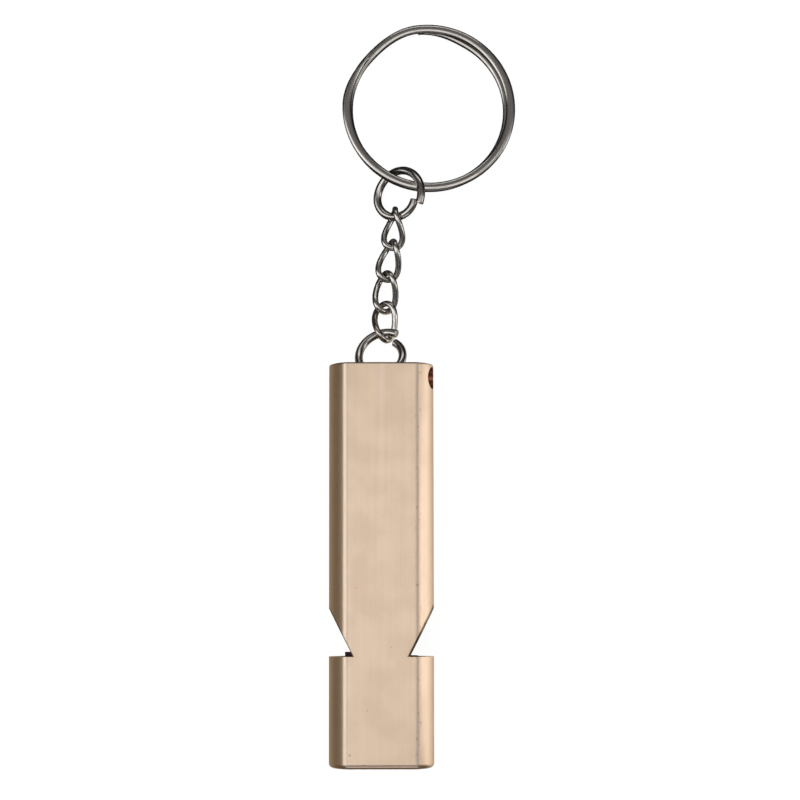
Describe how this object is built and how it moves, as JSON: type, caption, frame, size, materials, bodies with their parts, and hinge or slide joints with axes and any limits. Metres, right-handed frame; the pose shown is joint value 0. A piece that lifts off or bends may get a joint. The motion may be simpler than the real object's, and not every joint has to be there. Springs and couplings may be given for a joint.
{
  "type": "survival whistle",
  "caption": "Flat-fronted metal survival whistle with side notches near the mouthpiece, on a short twisted chain with a split key ring.",
  "frame": {"origin": "middle of the whistle's flat back, where it rests on a surface", "axes": "+Y from the mouthpiece towards the key ring, +Z out of the flat front, +X to the right seen from the front with the key ring up"},
  "size_m": [0.0217, 0.0866, 0.008],
  "materials": {
    "anodised_body": "champagne anodised, satin",
    "plug_plastic": "near-black moulded plastic",
    "stopper_metal": "plain turned aluminium",
    "ring_wire": "bright nickel-plated wire",
    "chain_wire": "bright nickel-plated wire",
    "key_ring_steel": "polished nickel-plated spring steel"
  },
  "bodies": {
    "whistle": {"whistle_body": "anodised_body", "windway_plug_left": "plug_plastic", "windway_plug_right": "plug_plastic", "stopper_left": "stopper_metal", "stopper_right": "stopper_metal"},
    "body_jump_ring": {"body_jump_ring": "ring_wire"},
    "chain_link_1": {"chain_link_1": "chain_wire"},
    "chain_link_2": {"chain_link_2": "chain_wire"},
    "chain_link_3": {"chain_link_3": "chain_wire"},
    "chain_link_4": {"chain_link_4": "chain_wire"},
    "ring_jump_ring": {"ring_jump_ring": "ring_wire"},
    "split_key_ring": {"split_key_ring": "key_ring_steel"}
  },
  "joints": [
    {"name": "body_ring_swing", "type": "hinge", "parent": "whistle", "child": "body_jump_ring", "pos_m": [0, 0.02173, 0.00496], "axis": [0.9714, 0.1021, 0.2146], "range_deg": [-15, 30]},
    {"name": "link_1_swing", "type": "hinge", "parent": "body_jump_ring", "child": "chain_link_1", "pos_m": [0.00043, 0.02696, 0.00219], "axis": [-0.9706, -0.0793, -0.2274], "range_deg": [-15, 30]},
    {"name": "link_2_swing", "type": "hinge", "parent": "chain_link_1", "child": "chain_link_2", "pos_m": [0.00041, 0.03045, 0.00115], "axis": [0.7868, 0.1814, 0.59], "range_deg": [-15, 20]},
    {"name": "link_3_swing", "type": "hinge", "parent": "chain_link_2", "child": "chain_link_3", "pos_m": [0.00068, 0.03408, 0.00115], "axis": [0.5158, -0.0049, 0.8567], "range_deg": [-25, 35]},
    {"name": "link_4_swing", "type": "hinge", "parent": "chain_link_3", "child": "chain_link_4", "pos_m": [0.00143, 0.03776, 0.00144], "axis": [0.2588, -0.1142, 0.9592], "range_deg": [-35, 30]},
    {"name": "upper_ring_swing", "type": "hinge", "parent": "chain_link_4", "child": "ring_jump_ring", "pos_m": [0.00164, 0.04152, 0.0016], "axis": [-0.0206, -0.044, 0.9988], "range_deg": [-15, 10]},
    {"name": "key_ring_swing", "type": "hinge", "parent": "ring_jump_ring", "child": "split_key_ring", "pos_m": [0.00282, 0.04592, 0.00254], "axis": [-0.8397, 0.2228, -0.4953], "range_deg": [-15, 5]}
  ]
}
